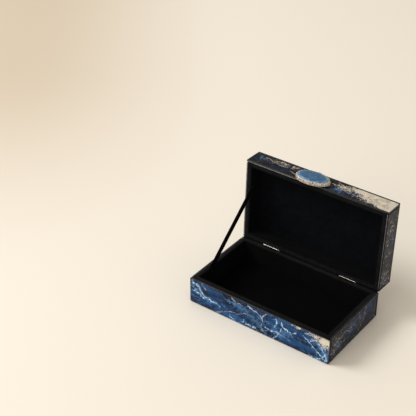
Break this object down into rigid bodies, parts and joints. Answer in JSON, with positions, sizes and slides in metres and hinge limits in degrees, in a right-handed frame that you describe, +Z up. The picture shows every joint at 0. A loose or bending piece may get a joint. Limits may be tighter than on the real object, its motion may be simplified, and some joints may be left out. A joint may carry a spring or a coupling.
{
  "type": "jewelry gift box",
  "caption": "Rectangular hinged gift box faced with painted glass, velvet-lined, with a ribbon stay and an agate finger pull, stored standing open.",
  "frame": {"origin": "centre of the underside, on the surface the box stands on", "axes": "+Z up, the front with the finger pull towards -Y, the hinges at the +Y edge, +X along the box's length to the right"},
  "size_m": [0.2032, 0.1464, 0.158],
  "materials": {
    "painted_glass": "gloss, reverse painted in a navy marble pattern",
    "board": "painted near-black on its edges",
    "velvet": "black velvet pile",
    "felt": "black felt",
    "nickel": "bright nickel plate",
    "agate": "polished blue agate",
    "gilt_rind": "rough rind with champagne gilding",
    "plate_brass": "brushed brass",
    "ribbon": "black satin ribbon"
  },
  "bodies": {
    "base": {"base_front_glass": "painted_glass", "base_back_glass": "painted_glass", "base_left_glass": "painted_glass", "base_right_glass": "painted_glass", "base_bottom_board": "board", "base_front_board": "board", "base_back_board": "board", "base_left_board": "board", "base_right_board": "board", "base_front_liner": "velvet", "base_back_liner": "velvet", "base_left_liner": "velvet", "base_right_liner": "velvet", "base_rim_lining": "velvet", "base_floor_pad": "velvet", "base_felt": "felt", "hinge_left_base_leaf": "nickel", "hinge_left_pin": "nickel", "hinge_left_base_screws": "nickel", "hinge_right_base_leaf": "nickel", "hinge_right_pin": "nickel", "hinge_right_base_screws": "nickel", "stay_ribbon": "ribbon"},
    "lid": {"lid_top_glass": "painted_glass", "lid_front_glass": "painted_glass", "lid_back_glass": "painted_glass", "lid_left_glass": "painted_glass", "lid_right_glass": "painted_glass", "lid_top_board": "board", "lid_front_board": "board", "lid_back_board": "board", "lid_left_board": "board", "lid_right_board": "board", "lid_front_liner": "velvet", "lid_back_liner": "velvet", "lid_left_liner": "velvet", "lid_right_liner": "velvet", "lid_rim_lining": "velvet", "lid_ceiling_pad": "velvet", "hinge_left_lid_leaf": "nickel", "hinge_left_lid_screws": "nickel", "hinge_right_lid_leaf": "nickel", "hinge_right_lid_screws": "nickel", "agate_slice": "agate", "agate_gilt_rind": "gilt_rind", "agate_mount_plate": "plate_brass", "agate_stud_nuts": "plate_brass"}
  },
  "joints": [
    {"name": "lid_hinge", "type": "hinge", "parent": "base", "child": "lid", "pos_m": [0, 0.05715, 0.0372], "axis": [1, 0, 0], "range_deg": [0, 92], "deforming": ["stay_ribbon"]}
  ]
}
